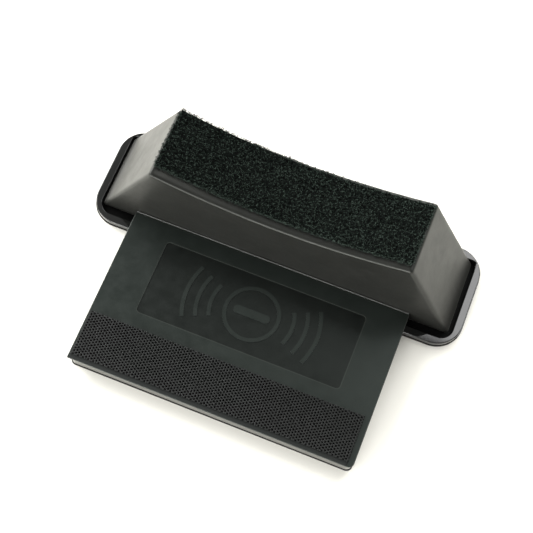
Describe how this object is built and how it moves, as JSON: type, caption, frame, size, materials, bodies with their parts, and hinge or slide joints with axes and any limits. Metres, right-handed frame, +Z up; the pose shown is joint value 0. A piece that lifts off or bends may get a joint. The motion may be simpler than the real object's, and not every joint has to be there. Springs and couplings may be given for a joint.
{
  "type": "drum damper pad",
  "caption": "Drum damper pad: a hollow-topped foam block with a loop-pile patch stands on a rimmed tray, with a hinged flap that carries a hook strip.",
  "frame": {"origin": "on the tray's flat underside, below the middle of the block's top, on the surface the pad stands on", "axes": "+X along the foam block, +Y from the flap towards the back of the block, +Z up"},
  "size_m": [0.3, 0.1972, 0.0876],
  "materials": {
    "tray": "gloss thermoformed sheet",
    "foam_skin": "smooth satin skin of moulded closed-cell foam",
    "loop_pile": "brushed loop pile",
    "hinge": "satin moulded film",
    "flap_panel": "satin sheet with a shallow recess",
    "base_sheet": "matt sheet",
    "hooks": "moulded hooks",
    "adhesive": "double-sided film"
  },
  "bodies": {
    "pad": {"tray": "tray", "block_adhesive": "adhesive", "foam_block": "foam_skin", "patch_adhesive": "adhesive", "loop_patch": "loop_pile", "hinge_web": "hinge"},
    "flap": {"hinge_leaf": "hinge", "flap_panel": "flap_panel", "flap_core": "foam_skin", "flap_base": "base_sheet", "hook_adhesive": "adhesive", "hook_strip": "hooks"}
  },
  "joints": [
    {"name": "flap_hinge", "type": "hinge", "parent": "pad", "child": "flap", "pos_m": [-0.002, -0.02965, 0.014], "axis": [-1, 0, 0], "range_deg": [0, 88]}
  ]
}
